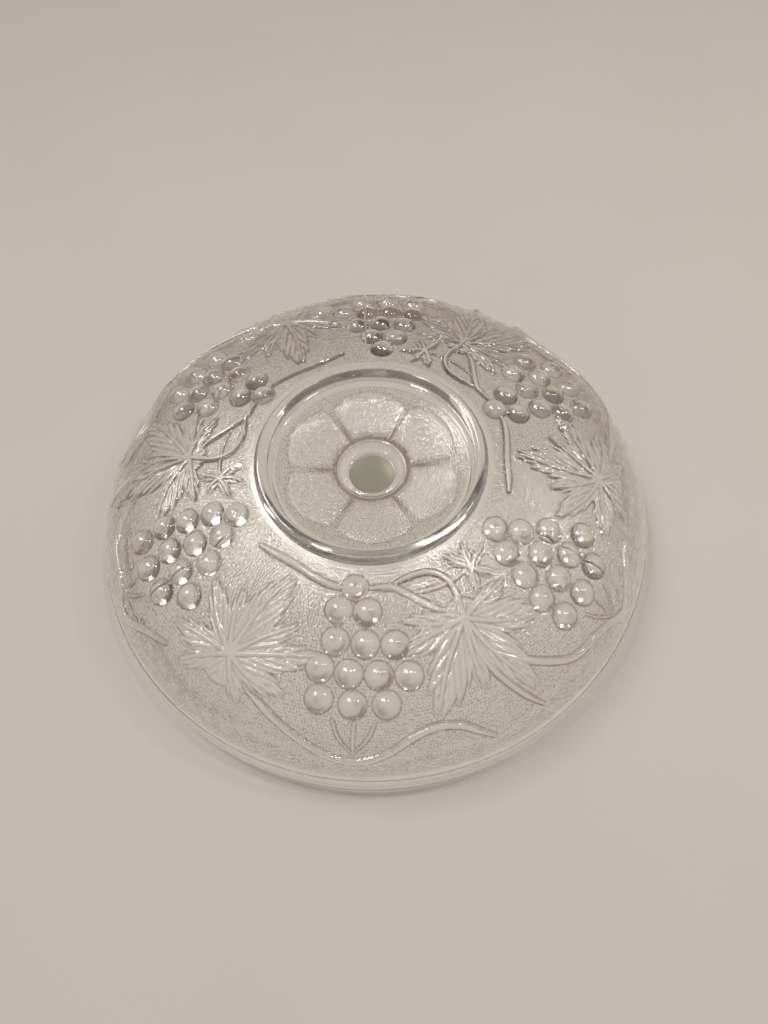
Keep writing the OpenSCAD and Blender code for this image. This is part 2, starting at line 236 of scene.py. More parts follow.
def bunch_field(grapes, shift):
    """Grapes: balls that stand half out of the wall. Returns the gap to the outline, and the height."""
    ball = (GRAPE_R ** 2 + GRAPE_H ** 2) / (2 * GRAPE_H)
    gap, height = np.full(U.shape, FAR), np.zeros(U.shape)
    for u0, d0 in grapes:
        away = np.hypot((U + shift - u0) * DEG_MM, D - d0)
        gap = np.minimum(gap, away - GRAPE_R)
        height = np.maximum(height, np.sqrt(np.maximum(ball ** 2 - away ** 2, 0)) - (ball - GRAPE_H))
    return gap, height


def cord_field(paths, shift, half_width, height):
    """Stems and vines: rounded ridges, thinner at both ends."""
    gap = np.full(U.shape, FAR)
    for points in paths:
        path = curve_through(points)
        ends = np.minimum(np.arange(len(path)), np.arange(len(path))[::-1]) / 6
        gap = np.minimum(gap, line_distance(path, shift, half_width * (0.6 + 0.4 * smoothstep(ends))))
    inside = np.clip(-gap / half_width, 0, 1)
    return gap, height * np.sqrt(inside * (2 - inside))


def leaf_veins(shape):
    """A vein for each lobe, with three pairs of side veins: lists of [x, y] in mm from the leaf's centre."""
    mains, sides = [], []
    for length, turn, half in shape[1]:
        along = np.array([math.cos(math.radians(turn)), math.sin(math.radians(turn))])
        across = np.array([-along[1], along[0]])
        bow = 0.05 * length * (1 if turn > 0 else -1)
        main = [along * length * t + across * bow * math.sin(math.pi * t) for t in np.linspace(0, 0.93, 7)]
        mains.append(main)
        for t, reach in SIDE_VEINS:
            root = along * length * t + across * bow * math.sin(math.pi * t)
            for side in (-1, 1):
                spread = along * 0.8 + across * side * math.sin(math.radians(half)) * 1.9
                tip = root + spread * length * reach
                sides.append([root, (root + tip) / 2 + along * 0.02 * length, tip])
    return mains, sides


def on_wall(centre, points):
    """[x, y] points beside a centre, in mm, as [angle, distance] points."""
    d = np.array([centre[1] + p[1] for p in points])
    u = centre[0] + np.array([p[0] for p in points]) / (wall_rz(d)[0] * math.pi / 180)
    return np.stack([u, d], -1)


def leaf_outline(shape, x, y):
    """Gap to the leaf's toothed edge, and the fine ribs that flow along its lobes, from -1 to 1."""
    lobes = shape[1]
    away, turn = np.hypot(x, y), np.degrees(np.arctan2(y, x))
    reach = np.full(U.shape, 0.32 * lobes[0][0])
    nearest = np.full(U.shape, 360.0)
    ribs = np.zeros(U.shape)
    for length, direction, half in lobes:
        off = (turn - direction + 540) % 360 - 180
        g = np.abs(off) / half
        tooth = 1 - 0.20 * np.abs(((g * 3.1) % 1) - 0.35)
        reach = np.maximum(reach, np.where(g < 1, length * (1 - 0.55 * g ** 1.25) * tooth, 0))
        flow = 0.34 * away * np.cos(np.radians(off)) - away * np.abs(np.sin(np.radians(off)))
        ribs = np.where(np.abs(off) < nearest, np.cos(flow / RIB_PITCH * 2 * math.pi), ribs)
        nearest = np.minimum(nearest, np.abs(off))
    sweep = away * np.gradient(np.unwrap(np.arctan2(y, x), axis=1), axis=1)
    slant = np.hypot(1, np.gradient(reach, axis=1) / np.maximum(sweep, 1e-3))
    gap = (away - reach) / np.minimum(slant, 3)
    return np.where(away < 1.5 * lobes[0][0] + FAR, gap, FAR), ribs


def leaf_field(shape, shift):
    """A lobed leaf with a toothed edge, a blade that puffs up between its veins, and ridged veins."""
    (u0, d0), _ = shape
    gap, ribs = leaf_outline(shape, (U + shift - u0) * DEG_MM, D - d0)
    mains, sides = leaf_veins(shape)
    vein = np.full(U.shape, FAR)
    for points in mains:
        taper = VEIN_W * np.linspace(1, 0.35, len(points))
        vein = np.minimum(vein, line_distance(on_wall(shape[0], points), shift, taper))
    small = np.full(U.shape, FAR)
    for points in sides:
        small = np.minimum(small, line_distance(on_wall(shape[0], points), shift, np.full(3, 0.3)))
    blade = BLADE_H * (1 - np.exp(np.minimum(gap, 0) / BLADE_EDGE))
    blade = blade * (0.62 + 0.38 * smoothstep(vein / 3.2) * smoothstep((small + 0.4) / 1.6))
    edge = smoothstep(-gap / 1.0)
    blade = blade + RIB_H * ribs * edge * smoothstep(vein / 1.5)
    ridge = VEIN_H * smoothstep(1 - np.maximum(vein, -VEIN_W) / 0.9 - 0.2) * edge
    ridge = np.maximum(ridge, 0.4 * smoothstep(1 - np.maximum(small, 0) / 0.7) * edge)
    fade_to_rim = 1 - 0.45 * smoothstep((D - 62) / 20)
    return gap, (blade + ridge) * fade_to_rim


def stipple(turn_deg, across, radius, height):
    """Small round pebbles in staggered rows. turn_deg and across place a point, radius is its radius."""
    made = np.zeros(np.shape(turn_deg))
    first = np.floor(across / STIPPLE_PITCH)
    for step in (-1, 0, 1):
        row = first + step
        middle = (row + 0.5) * STIPPLE_PITCH
        mean_r = np.maximum(radius + (middle - across), 5)
        count = np.round(2 * math.pi * mean_r / STIPPLE_PITCH / THIRDS / 4) * THIRDS * 4
        place = turn_deg / 360 * count + 0.37 * row
        slot = np.round(place)
        seed = np.sin(slot % (count / THIRDS) * 12.9898 + row * 78.233) * 43758.5453
        rand = seed - np.floor(seed)
        dx = (place - slot + 0.24 * (rand - 0.5)) / count * 2 * math.pi * radius
        dy = across - middle + 0.3 * STIPPLE_PITCH * (((seed * 7.13) % 1) - 0.5)
        size = 1 - (dx * dx + dy * dy) / (0.62 * STIPPLE_PITCH) ** 2
        made = np.maximum(made, np.maximum(size, 0) * (0.55 + 0.45 * rand))
    return height * made


def all_motifs():
    """Every motif copy that reaches into a third: (node prefix, gap, height, whose third it belongs to)."""
    rows = []
    for shift, owner in ((0, 0), (120, -1), (-120, 1)):
        rows.append(("grape_odd", *bunch_field(BUNCHES["odd"], shift), owner))
        rows.append(("grape_even", *bunch_field(BUNCHES["even"], shift), owner))
        rows.append(("tall_leaf", *leaf_field(LEAF_TALL, shift), owner))
        rows.append(("broad_leaf", *leaf_field(LEAF_BROAD, shift), owner))
        rows.append(("bud_leaf", *leaf_field(LEAF_BUD, shift), owner))
        rows.append(("bunch_stem", *cord_field([STEM_IN, STEM_OUT], shift, STEM_W, STEM_H), owner))
        rows.append(("loop_stem", *loop_field(shift), owner))
        rows.append(("rim_vine", *cord_field([VINE_LOW, VINE_HIGH], shift, STEM_W * 1.1, STEM_H), owner))
        rows.append(("bunch_stalks", *cord_field(FORKS, shift, STEM_W * 0.5, STEM_H * 0.6), owner))
    return [r for r in rows if (r[1] < 0).any()]


def loop_field(shift):
    """The stem that loops over a leaf, with the thin stem of the bud beside it."""
    gap, height = cord_field([LOOP], shift, STEM_W * 0.85, STEM_H * 1.25)
    thin_gap, thin_height = cord_field([BUD_STEM], shift, STEM_W * 0.55, STEM_H * 0.6)
    return np.minimum(gap, thin_gap), np.maximum(height, thin_height)


# ---------------------------------------------------------------- solids
GLASS, INSIDE, RIM_GLASS = 0, 1, 2   # material places of a piece; only the hollow uses the third


class Solid:
    """Points and faces of one closed piece. Faces are kept by their number of corners."""

    def __init__(self):
        self.points = []
        self.hollow = []
        self.count = 0
        self.faces = []

    def add(self, points, hollow=0.0):
        """Adds points and returns their numbers in the same arrangement. hollow, the painted shade of the
        points, goes from 0 to 1.
        """
        points = np.asarray(points, float)
        numbers = self.count + np.arange(points[..., 0].size).reshape(points.shape[:-1])
        self.points.append(points.reshape(-1, 3))
        self.hollow.append(np.broadcast_to(hollow, numbers.shape).ravel())
        self.count += numbers.size
        return numbers

    def face(self, corners, material=GLASS):
        """corners is an array of point numbers, one row for each face."""
        corners = np.asarray(corners)
        if corners.size:
            self.faces.append((corners.reshape(-1, corners.shape[-1]), material))

    def strip(self, a, b, material=GLASS, closed=True):
        """Faces between two rows of points. One row may have twice as many points as the other."""
        if closed:
            a, b = np.append(a, a[0]), np.append(b, b[0])
        if len(a) == len(b):
            self.face(np.stack([a[:-1], a[1:], b[1:], b[:-1]], -1), material)
        elif len(a) > len(b):
            self.face(np.stack([a[:-2:2], a[1:-1:2], a[2::2], b[1:], b[:-1]], -1), material)
        else:
            self.face(np.stack([a[:-1], a[1:], b[2::2], b[1:-1:2], b[:-2:2]], -1), material)

    def build(self, name, materials):
        """Makes the Blender object, with only the points that its faces use."""
        points = np.vstack(self.points)
        used = np.zeros(len(points), bool)
        for corners, _ in self.faces:
            used[corners] = True
        new_number = np.cumsum(used) - 1
        loops = np.concatenate([new_number[c].ravel() for c, _ in self.faces])
        sizes = np.concatenate([np.full(len(c), c.shape[1]) for c, _ in self.faces])
        place = np.concatenate([np.full(len(c), m) for c, m in self.faces])
        mesh = bpy.data.meshes.new(name)
        mesh.vertices.add(int(used.sum()))
        mesh.vertices.foreach_set("co", (points[used] * MM).astype(np.float32).ravel())
        mesh.loops.add(len(loops))
        mesh.loops.foreach_set("vertex_index", loops.astype(np.int32))
        mesh.polygons.add(len(sizes))
        mesh.polygons.foreach_set("loop_start", (np.cumsum(sizes) - sizes).astype(np.int32))
        mesh.polygons.foreach_set("material_index", place.astype(np.int32))
        mesh.polygons.foreach_set("use_smooth", place != INSIDE)
        for m in materials:
            mesh.materials.append(m)
        mesh.update(calc_edges=True)
        edge_of = np.empty(len(loops), np.int32)
        mesh.loops.foreach_get("edge_index", edge_of)
        sharp = np.zeros(len(mesh.edges), bool)
        sharp[edge_of[np.repeat(place == INSIDE, sizes)]] = True
        mesh.attributes.new("sharp_edge", "BOOLEAN", "EDGE").data.foreach_set("value", sharp)
        # The painted shade goes on the mesh as the attribute "hollow".
        hollow = np.concatenate(self.hollow)[used].astype(np.float32)
        mesh.attributes.new("hollow", "FLOAT", "POINT").data.foreach_set("value", hollow)
        piece = bpy.data.objects.new(name, mesh)
        bpy.context.scene.collection.objects.link(piece)
        return piece


def ring(r, z, count):
    """A circle of points at radius r and height z. Column 0 lies in the direction FIRST_DEG."""
    turn = np.radians(FIRST_DEG + np.arange(count) * 360 / count)
    return np.stack([r * np.cos(turn), r * np.sin(turn), np.full(count, float(z))], -1)


def arc(centre, radius, start, end, steps):
    """Profile points on a circle, angles in degrees."""
    turn = np.radians(np.linspace(start, end, steps + 1))
    return np.stack([centre[0] + radius * np.cos(turn), centre[1] + radius * np.sin(turn)], -1)


# ---------------------------------------------------------------- the patterned wall
def gradient_mm(field):
    """Slope of a field over one third along the ring and towards the rim."""
    wrapped = np.concatenate([field[:, -1:], field, field[:, :1]], 1)
    along = (wrapped[:, 2:] - wrapped[:, :-2]) / (2 * (360 / COLS) * DEG_MM)
    return along, np.gradient(field, D[:, 0], axis=0)


def hollow_shade(height):
    """Painted shade from 0 to 1: how far each grid point lies in a crease, or on a side that turns to the
    rim, and so is coloured darker.
    """
    along, out = gradient_mm(height)
    crease = gradient_mm(along)[0] + gradient_mm(out)[1]
    side = 0.9 * (1 - np.exp(np.minimum(out, 0) * SIDE_SHADE))
    return np.clip(0.55 * np.clip(crease * CREASE_SHADE, 0, 1) + side, 0, 1)


def grape_shade():
    """Painted shade from 0 to 1: soft dark arcs inside the grapes, most of them on the side towards the rim,
    and a dark spot near each middle, drawn by formula where real glass would refract.
    """
    shade = np.zeros(U.shape)
    for shift in (0, 120, -120):
        for number, (u0, d0) in enumerate(BUNCHES["odd"] + BUNCHES["even"]):
            lean, other = math.sin(number * 2.4 + 1), math.sin(number * 4.1)
            x, y = (U + shift - u0) * DEG_MM, D - d0
            away = np.hypot(x, y)
            lower = smoothstep(-0.1 + 1.1 * (y * math.cos(lean) + x * math.sin(lean)) / np.maximum(away, 0.1))
            arc_mm = (away - (0.70 + 0.08 * other) * GRAPE_R) / 0.9
            spot_mm = np.hypot(x - 2.2 * other, y + 1.6 * lean) / 1.8
            strength = 0.7 + 0.3 * other
            made = GRAPE_ARC_SHADE * strength * lower * np.exp(-arc_mm ** 2) + GRAPE_SPOT_SHADE * np.exp(-spot_mm ** 2)
            shade = np.maximum(shade, np.where(away < GRAPE_R, made, 0))
    return shade


def corner_mean(field):
    """Mean of each cell's four corners. The last column's cells reach the next third's first column."""
    right = np.roll(field, -1, axis=1)
    return (field[:-1] + field[1:] + right[:-1] + right[1:]) / 4


def touching(cells):
    """True at each grid point that touches one of these cells."""
    rows = np.zeros((cells.shape[0] + 1, cells.shape[1]), bool)
    rows[:-1] |= cells
    rows[1:] |= cells
    return rows | np.roll(rows, 1, axis=1)


def ground_relief(union):
    """Height of the pebbled ground, and the painted shade of its valleys. union is the gap to the nearest
    motif.
    """
    turn = FIRST_DEG + U
    near_band = smoothstep((BAND_FROM - 2 - D) / 4)
    pebbles = stipple(turn, D, R_OUT, STIPPLE_H)
    pebbles *= smoothstep((union - 0.1) / 0.9) * smoothstep((D - 1.5) / 3)
    pebbles *= near_band
    valley = STIPPLE_SHADE * (1 - smoothstep(pebbles / STIPPLE_H * 1.6))
    valley *= smoothstep((D - 2) / 3) * near_band
    low_zone = smoothstep((D - 66) / 10) * smoothstep((BAND_FROM - D) / 5) * smoothstep(union / 3)
    waves = round(360 * DEG_MM[-1, 0] / DIMPLE_MM / THIRDS) * THIRDS
    phase = np.radians(turn) * waves
    rows = np.cos(2 * math.pi * D / DIMPLE_MM + 2 * np.sin(phase / waves * 12))
    dimples = np.cos(phase + 1.6 * np.sin(D / 6)) + rows
    return pebbles + DIMPLE_H / 2 * low_zone * dimples, valley


def moved_to_outline(union, edge):
    """Places of the grid points, with those along the motifs' edges moved onto the true outline."""
    along, out = gradient_mm(union)
    size = np.maximum(along ** 2 + out ** 2, 0.2)
    step = BAND_FROM / WALL_ROWS
    cell_mm = (360 / COLS) * DEG_MM
    move_x = np.clip(-union * along / size, -0.6 * cell_mm, 0.6 * cell_mm)
    move_y = np.clip(-union * out / size, -0.6 * step, 0.6 * step)
    return U + np.where(edge, move_x / DEG_MM, 0), D + np.where(edge, move_y, 0)


def wall_shade(union, motif_height, ground, valley):
    """The attribute "hollow" of the patterned wall: painted shade in creases, pebble valleys, along motif
    outlines, on sides that turn to the rim and inside the grapes.
    """
    hollow = hollow_shade(np.where(union < 0, motif_height, ground))
    hollow = hollow + np.where(union > 0.3, valley, 0) + OUTLINE_SHADE * np.exp(-(union / 0.5) ** 2)
    return np.clip(hollow + grape_shade(), 0, 1)


def wall_surface():
    """The whole patterned wall. Every third is the same, so one is worked out. Returns the outside's points
    as "full", the points under the motifs as "low", where the two are the same, and each cell's motif and
    third."""
    motifs = all_motifs()
    gaps = np.stack([m[1] for m in motifs])
    heights = np.stack([np.where(m[1] < 0, m[2], 0) for m in motifs])
    cell_gap = np.stack([corner_mean(g) for g in gaps])
    cell_height = np.stack([corner_mean(h) for h in heights])
    label = np.where(cell_gap < 0, cell_height, -1).argmax(0)
    label = np.where((cell_gap < 0).any(0), label, -1)
    union = gaps.min(0)
    near_ground, near_motif = touching(label < 0), touching(label >= 0)
    edge = near_ground & near_motif
    u, d = moved_to_outline(union, edge)
    ground, valley = ground_relief(union)
    height = np.where(edge, 0, np.where(near_motif, heights.max(0), ground))
    meets = np.zeros(U.shape, bool)
    for m in range(len(motifs)):
        meets |= touching(label == m) & touching((label >= 0) & (label != m))
    low = np.where(near_motif & ~edge & ~meets, 0, height)
    whose = np.array([m[3] for m in motifs] + [0])
    full_points, low_points, owner = [], [], []
    for k in range(THIRDS):
        turn = np.radians(FIRST_DEG + 120 * k + u)
        for made, h in ((full_points, height), (low_points, low)):
            r, z = wall_rz(d, h)
            made.append(np.stack([r * np.cos(turn), r * np.sin(turn), z], -1))
        owner.append((k + whose[label]) % THIRDS)
    same = ~near_motif | edge | meets
    # Painted shade of the wall, kept as the attribute "hollow".
    hollow = wall_shade(union, heights.max(0), ground, valley)
    return {"full": np.concatenate(full_points, 1), "low": np.concatenate(low_points, 1),
            "hollow": np.tile(hollow, (1, THIRDS)), "same": np.tile(same, (1, THIRDS)),
            "label": np.tile(label, (1, THIRDS)), "owner": np.concatenate(owner, 1),
            "names": [m[0] for m in motifs]}


def cells_of(numbers):
    """The four corners of each cell, in order, of a grid that closes round the bowl."""
    right = np.roll(numbers, -1, axis=1)
    return np.stack([numbers[:-1], right[:-1], right[1:], numbers[1:]], -1)


def motif_solid(surface, chosen):
    """The relief over the chosen cells: its outside, and under it the wall's own surface."""
    solid = Solid()
    full = solid.add(surface["full"], surface["hollow"])
    low = solid.add(surface["low"])
    low = np.where(surface["same"], full, low)
    solid.face(cells_of(full)[chosen][:, ::-1])
    solid.face(cells_of(low)[chosen], INSIDE)
    return solid


def wall_solid(surface, third, rows):
    """One third of the wall between two rows: pebbled outside, smooth inside, cut faces all round."""
    solid = Solid()
    cols = (third * THIRD_COLS + np.arange(THIRD_COLS + 1)) % COLS
    half = cols[::2]
    start, stop = rows
    points = np.where(surface["same"][..., None], surface["full"], surface["low"])
    outer = solid.add(points[start:stop + 1][:, cols], surface["hollow"][start:stop + 1][:, cols])
    is_motif = surface["label"][start:stop][:, cols[:-1]] >= 0
    quads = np.stack([outer[:-1, :-1], outer[1:, :-1], outer[1:, 1:], outer[:-1, 1:]], -1)
    if start == 0:
        solid.strip(outer[1], outer[0][::2], GLASS, closed=False)
        quads, is_motif = quads[1:], is_motif[1:]
    solid.face(quads[~is_motif])
    solid.face(quads[is_motif], INSIDE)
    edges = D[:, 0][[start, stop]]
    turn = np.radians(FIRST_DEG + half * 360 / COLS)
    inner = []
    for d in np.linspace(*edges, INNER_ROWS + 1):
        r, z = wall_rz(d, -WALL_T)
        inner.append(solid.add(np.stack([r * np.cos(turn), r * np.sin(turn), np.full(len(turn), z)], -1)))
    for a, b in zip(inner[:-1], inner[1:]):
        solid.strip(a, b, GLASS, closed=False)
    first = outer[0][::2] if start == 0 else outer[0]
    solid.strip(first, inner[0], INSIDE, closed=False)
    solid.strip(inner[-1], outer[-1], INSIDE, closed=False)
    for column, order in ((0, 1), (-1, -1)):
        side = np.concatenate([outer[:, column], [row[column] for row in inner[::-1]]])
        solid.face(side[::order][None], INSIDE)
    return solid


# ---------------------------------------------------------------- turned zones
def lathe(profile, cuts):
    """A closed ring of glass from a profile of (radius, height, columns, hollow), where hollow is the painted
    shade of each row. cuts are the profile steps that face another piece, each named by its first point."""
    solid = Solid()
    rows = [solid.add(ring(r, z, n), hollow) for r, z, n, hollow in profile]
    for i in range(len(rows)):
        solid.strip(rows[i], rows[(i + 1) % len(rows)], INSIDE if i in cuts else GLASS)
    return solid


def band_profile():
    """Outside from the wall's last row round the lip, then back up the inside."""
    lip_c = (RIM_R + BAND_PROUD - LIP_R, LIP_R - LIP_CUT)
    flat = math.degrees(math.asin(lip_c[1] / LIP_R))
    inner_turn = math.degrees(math.acos((BAND_PROUD + WALL_T - LIP_R) / LIP_R))
    upright_from = SLOPE_LEN + SHOULDER_LEN
    points = [(*wall_rz(BAND_FROM), COLS, 0.0)]
    for rise, out in ((0.15, 0.1), (0.35, 0.3), (0.6, BAND_PROUD)):
        points.append((*wall_rz(BAND_FROM + rise, out), HALF_COLS, 0.0))
    for d in np.linspace(BAND_FROM + 1.2, upright_from, 44):
        thread = THREAD_H * math.exp(-((d - upright_from + 2.2) / 0.6) ** 2)
        # Painted shade in a thin line just past the raised thread, towards the rim.
        below = 0.45 * math.exp(-((d - upright_from + 1.3) / 0.5) ** 2)
        points.append((*wall_rz(d, BAND_PROUD + thread), HALF_COLS, below))
    outside = arc(lip_c, LIP_R, 0, -flat, 14)
    # The lip is painted darker as shade, most of all where it comes down to the floor.
    points += [(r, z, HALF_COLS, LIP_SHADE + 0.6 * (i / 14) ** 3) for i, (r, z) in enumerate(outside)]
    for r, z in arc(lip_c, LIP_R, flat - 180, -180 - inner_turn + 8, 14):
        points.append((r, z, HALF_COLS, 0.0))
    for d in np.linspace(upright_from, BAND_FROM, 14):
        points.append((*wall_rz(d, -WALL_T), HALF_COLS, 0.0))
    return points


def foot_profile():
    """Outside from the wall over the bead to the base floor, then back along the inside."""
    bead_c = (FOOT_R - BEAD_R, FOOT_Z + LAND_CUT - BEAD_R)
    flat = math.degrees(math.asin((BEAD_R - LAND_CUT) / BEAD_R))
    # The wall's last row at the foot ring gets painted shade.
    points = [(*wall_rz(0), HALF_COLS, 0.3)]
    points += [(r, z, HALF_COLS, 0.0) for r, z in arc(bead_c, BEAD_R, 8, flat, 12)]
    points += [(r, z, HALF_COLS, 0.0) for r, z in arc(bead_c, BEAD_R, 180 - flat, 180, 12)]
    slope = curve_through([(bead_c[0] - BEAD_R, bead_c[1]), (bead_c[0] - BEAD_R - 0.1, FLOOR_Z + 2.2),
                           (FLOOR_R + 0.7, FLOOR_Z + 0.5), (FLOOR_R, FLOOR_Z)])
    points += [(r, z, HALF_COLS, 0.0) for r, z in slope[1:]]
    turn_in = len(points) - 1
    inside = curve_through([(FLOOR_R, FLOOR_Z - BASE_T), (FLOOR_R + 3.5, FLOOR_Z - BASE_T + 3.2),
                            tuple(float(v) for v in wall_rz(0, -WALL_T))])
    points += [(r, z, HALF_COLS, 0.0) for r, z in inside]
    return points, (turn_in, len(points) - 1)


def hollow_solid():
    """The round hollow at the centre of the base: a clear slope round a flat disc of grey-green glass."""
    solid = Solid()
    low = PIT_TOP - PIT_DEPTH
    edge = curve_through([(PIT_R, PIT_TOP), (PIT_R - 0.5, PIT_TOP + 0.25), (PIT_R - 1.1, PIT_TOP - 0.5),
                          (PIT_BOTTOM_R + 0.5, low + 0.7), (PIT_BOTTOM_R - 0.6, low)])
    top = []
    for r, z in edge:
        # Painted shade: a dark ring at the hollow's top edge and a fainter one where the slope meets the
        # disc.
        dark = 0.65 * math.exp(-((r - PIT_R) / 0.9) ** 2) + 0.4 * math.exp(-((r - PIT_BOTTOM_R) / 0.5) ** 2)
        top.append(solid.add(ring(r, z, HALF_COLS), dark))
    for radius, count in ((0.8, HALF_COLS), (0.6, HALF_COLS // 2), (0.36, HALF_COLS // 4)):
        top.append(solid.add(ring(PIT_BOTTOM_R * radius, low, count)))
    under = [solid.add(ring(PIT_R, PIT_TOP - BASE_T, HALF_COLS))]
    for share, count in ((0.85, HALF_COLS), (0.7, HALF_COLS // 2), (0.35, HALF_COLS // 4)):
        drop = PIT_DEPTH / 2 * (1 - share ** 2)
        under.append(solid.add(ring(PIT_R * share, PIT_TOP - BASE_T - drop, count)))
    slope_top, slope_under = len(edge) - 2, 2      # how many strips belong to the slope
    for i, (a, b) in enumerate(zip(top[:-1], top[1:])):
        solid.strip(a, b, RIM_GLASS if i < slope_top else GLASS)
    for i, (a, b) in enumerate(zip(under[1:], under[:-1])):
        solid.strip(a, b, RIM_GLASS if i < slope_under else GLASS)
    solid.strip(under[0], top[0], INSIDE)
    centre = solid.add([[0, 0, low], [0, 0, PIT_TOP - BASE_T - PIT_DEPTH / 2]])
    for row, middle, order in ((top[-1], centre[0], 1), (under[-1], centre[1], -1)):
        spokes = np.stack([row, np.roll(row, -1), np.full(len(row), middle)], -1)
        solid.face(spokes[:, ::order])
    return solid


# ---------------------------------------------------------------- the base floor and its flower
def petal_outline(turn, r):
    """Gap to the nearest petal's outline. Returns the degrees from the petal's middle, the gap to its side,
    the gap to its tip, and the whole gap."""
    off = turn % 60 - 30                           # petals point to 30, 90 and so on
    side = (np.abs(off) - 29.0 + 0.0042 * (r - 20) ** 2 * (r > 20)) * r * math.pi / 180 * 0.9
    tip = r - (PETAL_TIP_R - 5.0 * (off / 26) ** 2)
    return off, side, tip, np.maximum(np.maximum(side, tip), PIT_R + 2.2 - r)


def floor_surface():
    """Points, petal cells and the attribute "hollow", the painted shade of the base floor, from its edge
    inwards.
    """
    r_row = np.linspace(FLOOR_R, PIT_R, FLOOR_ROWS + 1)
    turn, r = np.meshgrid(FIRST_DEG + np.arange(HALF_COLS) * 360 / HALF_COLS, r_row)
    off, side, tip, gap = petal_outline(turn, r)
    cell = corner_mean(gap) < 0
    near_petal, near_ground = touching(cell), touching(~cell)
    near_ground[[0, -1]] = True
    edge = near_petal & near_ground
    puff = PETAL_H * (1 - np.exp(np.minimum(gap, 0) / 3.0)) * (0.85 + 0.15 * np.cos(np.radians(off * 5)))
    pebbles = stipple(turn, r, r, 1.0)
    fade = smoothstep((FLOOR_R - 1 - r) / 2) * smoothstep((r - PIT_R - 0.2) / 0.8)
    petal = puff + PETAL_STIPPLE_H * pebbles * smoothstep(-gap / 1.5)
    collar = smoothstep((PIT_R + 2.6 - r) / 0.8)
    ground = (0.12 + 0.28 * collar) * pebbles * fade * smoothstep(gap / 1.0)
    near_hollow = smoothstep((38 - r) / 16)
    # Painted shade: creases along the petal outlines, deeper between petals near the hollow, pebble valleys,
    # and darker ground between the petals, most of all at the collar.
    between = np.where(side > tip, 0.2 + 0.6 * near_hollow, 0.2)
    crease = np.exp(-np.abs(gap) / (0.7 + 1.3 * near_hollow)) * between
    valley = (1 - smoothstep(pebbles * 1.6)) * fade
    hollow = crease + 0.6 * valley + np.where(gap > 0, 0.18 + 0.5 * collar, 0) * fade
    height = np.where(edge, 0, np.where(near_petal, petal, ground))
    low = np.where(near_petal & ~edge, 0, height)
    angle = np.radians(turn)
    made = {"same": ~near_petal | edge, "petal": cell, "hollow": np.clip(hollow, 0, 1)}
    for name, h in (("full", height), ("low", low)):
        made[name] = np.stack([r * np.cos(angle), r * np.sin(angle), floor_z(r) + h], -1)
    return made


def petal_solid(surface):
    """The six petals: their outside, and under it the floor's own surface."""
    solid = Solid()
    full = solid.add(surface["full"], surface["hollow"])
    low = np.where(surface["same"], full, solid.add(surface["low"]))
    solid.face(cells_of(full)[surface["petal"]])
    solid.face(cells_of(low)[surface["petal"]][:, ::-1], INSIDE)
    return solid


def floor_solid(surface):
    """The base floor from its edge to the hollow: pebbled outside, smooth inside."""
    solid = Solid()
    points = np.where(surface["same"][..., None], surface["full"], surface["low"])
    outer = solid.add(points, surface["hollow"])
    quads = cells_of(outer)
    solid.face(quads[~surface["petal"]])
    solid.face(quads[surface["petal"]], INSIDE)
    radii = np.linspace(FLOOR_R, PIT_R, 13)
    under = [solid.add(ring(r, floor_z(r) - BASE_T, HALF_COLS)) for r in radii]
    for a, b in zip(under[1:], under[:-1]):
        solid.strip(a, b)
    solid.strip(under[0], outer[0], INSIDE)
    solid.strip(outer[-1], under[-1], INSIDE)
    return solid


# ---------------------------------------------------------------- materials
# Colour of the painted shade that the attribute "hollow" mixes into the glass.
CREASE_SHADE_COLOUR = (0.21, 0.165, 0.125)
CLEAR_TINT = (0.985, 0.985, 0.972)
THICK_TINT = (0.47, 0.485, 0.39)
GLASS_IOR = 1.51
COAT_IOR = 1.55
COAT_ROUGHNESS = 0.03
GRAIN_SCALE = 1000


def new_material(name):
    material = bpy.data.materials.new(name)
    material.use_nodes = True
    tree = material.node_tree
    return material, tree.nodes, tree.links, tree.nodes["Principled BSDF"]


def noise(nodes, links, scale, detail):
    """Noise in object space, in steps of 1 / scale metres."""
    where = nodes.new("ShaderNodeTexCoord")
    made = nodes.new("ShaderNodeTexNoise")
    made.inputs["Scale"].default_value = scale
    made.inputs["Detail"].default_value = detail
    links.new(where.outputs["Object"], made.inputs["Vector"])
    return made


